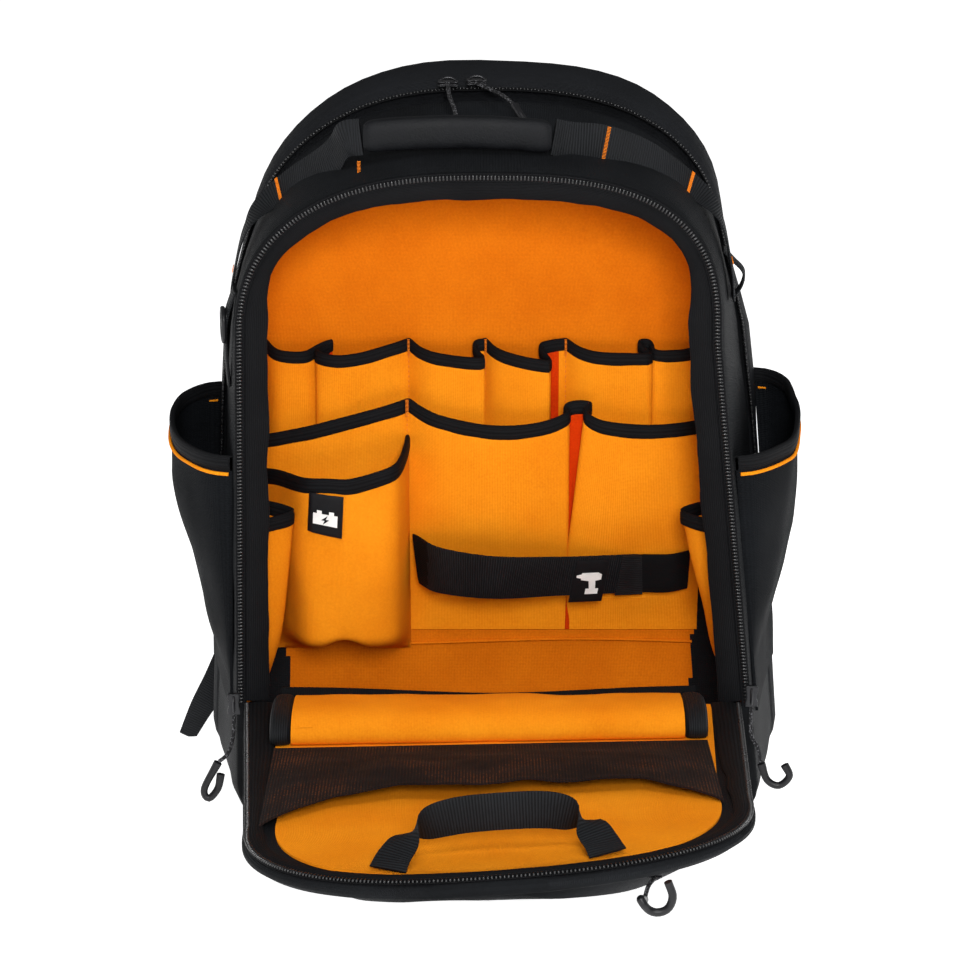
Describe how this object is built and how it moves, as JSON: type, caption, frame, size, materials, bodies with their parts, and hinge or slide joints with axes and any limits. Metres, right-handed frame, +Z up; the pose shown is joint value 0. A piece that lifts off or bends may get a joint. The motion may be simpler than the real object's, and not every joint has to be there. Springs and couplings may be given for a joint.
{
  "type": "tool backpack",
  "caption": "Arch-topped tool backpack, front panel unzipped and folded forward, with tool pockets, a battery pouch and a tool strap inside.",
  "frame": {"origin": "on the floor, in the flat base of the main compartment", "axes": "+Z up, -Y out of the main opening, +Y towards the shoulder straps, +X to the right seen from the opening"},
  "size_m": [0.3881, 0.5223, 0.446],
  "materials": {
    "back_pad": "ribbed, matt",
    "battery_binding": "ribbed webbing, matt",
    "battery_label": "moulded, matt",
    "battery_pouch": "plain woven, matt",
    "body_zip": "moulded coil, satin",
    "cord_left": "braided, speckled",
    "cord_right": "braided, speckled",
    "front_cord": "braided, speckled",
    "front_panel": "plain woven, matt",
    "front_pocket": "plain woven, matt",
    "front_pocket_zip": "moulded coil, satin",
    "front_pull": "moulded, satin",
    "front_slider": "satin",
    "grab_handle": "smooth, satin",
    "handle_web_left": "ribbed webbing, matt",
    "handle_web_right": "ribbed webbing, matt",
    "lining": "plain woven, matt",
    "lip_binding": "ribbed webbing, matt",
    "lip_end_left": "ribbed webbing, matt",
    "lip_end_right": "ribbed webbing, matt",
    "lip_pocket": "plain woven, matt",
    "lower_binding": "ribbed webbing, matt",
    "lower_pockets": "plain woven, matt",
    "main_compartment": "plain woven, matt",
    "mesh_pocket": "open mesh, matt",
    "opening_facing": "binding tape, matt",
    "panel_facing": "binding tape, matt",
    "panel_lining": "plain woven, matt",
    "panel_loop": "ribbed webbing, matt",
    "panel_zip": "moulded coil, satin",
    "pull_left": "moulded, satin",
    "pull_right": "moulded, satin",
    "rear_compartment": "ribbed, matt",
    "rear_cord_left": "braided, speckled",
    "rear_cord_right": "braided, speckled",
    "rear_pull": "moulded, satin",
    "rear_slider_left": "satin",
    "rear_slider_right": "satin",
    "rear_zip": "moulded coil, satin",
    "shoulder_strap_left": "plain woven, matt",
    "shoulder_strap_right": "plain woven, matt",
    "side_pocket_binding_left": "ribbed webbing, matt",
    "side_pocket_binding_right": "ribbed webbing, matt",
    "side_pocket_left": "plain woven, matt",
    "side_pocket_piping_left": "plain woven, matt",
    "side_pocket_piping_right": "plain woven, matt",
    "side_pocket_right": "plain woven, matt",
    "side_strap_left": "ribbed webbing, matt",
    "side_tab_right": "ribbed webbing, matt",
    "slider_left": "satin",
    "slider_right": "satin",
    "strap_end_left": "ribbed webbing, matt",
    "strap_web_left": "ribbed webbing, matt",
    "strap_web_right": "ribbed webbing, matt",
    "tool_strap": "ribbed webbing, matt",
    "tool_strap_label": "moulded, matt",
    "upper_binding": "ribbed webbing, matt",
    "upper_pockets": "plain woven, matt",
    "wall_pocket_left": "plain woven, matt",
    "wall_pocket_right": "plain woven, matt"
  },
  "bodies": {
    "root": {"back_pad": "back_pad", "battery_binding": "battery_binding", "battery_label": "battery_label", "battery_pouch": "battery_pouch", "body_zip": "body_zip", "cord_left": "cord_left", "cord_right": "cord_right", "front_cord": "front_cord", "front_panel": "front_panel", "front_pocket": "front_pocket", "front_pocket_zip": "front_pocket_zip", "front_pull": "front_pull", "front_slider": "front_slider", "grab_handle": "grab_handle", "handle_web_left": "handle_web_left", "handle_web_right": "handle_web_right", "lining": "lining", "lip_binding": "lip_binding", "lip_end_left": "lip_end_left", "lip_end_right": "lip_end_right", "lip_pocket": "lip_pocket", "lower_binding": "lower_binding", "lower_pockets": "lower_pockets", "main_compartment": "main_compartment", "mesh_pocket": "mesh_pocket", "opening_facing": "opening_facing", "panel_facing": "panel_facing", "panel_lining": "panel_lining", "panel_loop": "panel_loop", "panel_zip": "panel_zip", "pull_left": "pull_left", "pull_right": "pull_right", "rear_compartment": "rear_compartment", "rear_cord_left": "rear_cord_left", "rear_cord_right": "rear_cord_right", "rear_pull": "rear_pull", "rear_slider_left": "rear_slider_left", "rear_slider_right": "rear_slider_right", "rear_zip": "rear_zip", "shoulder_strap_left": "shoulder_strap_left", "shoulder_strap_right": "shoulder_strap_right", "side_pocket_binding_left": "side_pocket_binding_left", "side_pocket_binding_right": "side_pocket_binding_right", "side_pocket_left": "side_pocket_left", "side_pocket_piping_left": "side_pocket_piping_left", "side_pocket_piping_right": "side_pocket_piping_right", "side_pocket_right": "side_pocket_right", "side_strap_left": "side_strap_left", "side_tab_right": "side_tab_right", "slider_left": "slider_left", "slider_right": "slider_right", "strap_end_left": "strap_end_left", "strap_web_left": "strap_web_left", "strap_web_right": "strap_web_right", "tool_strap": "tool_strap", "tool_strap_label": "tool_strap_label", "upper_binding": "upper_binding", "upper_pockets": "upper_pockets", "wall_pocket_left": "wall_pocket_left", "wall_pocket_right": "wall_pocket_right"}
  },
  "joints": []
}
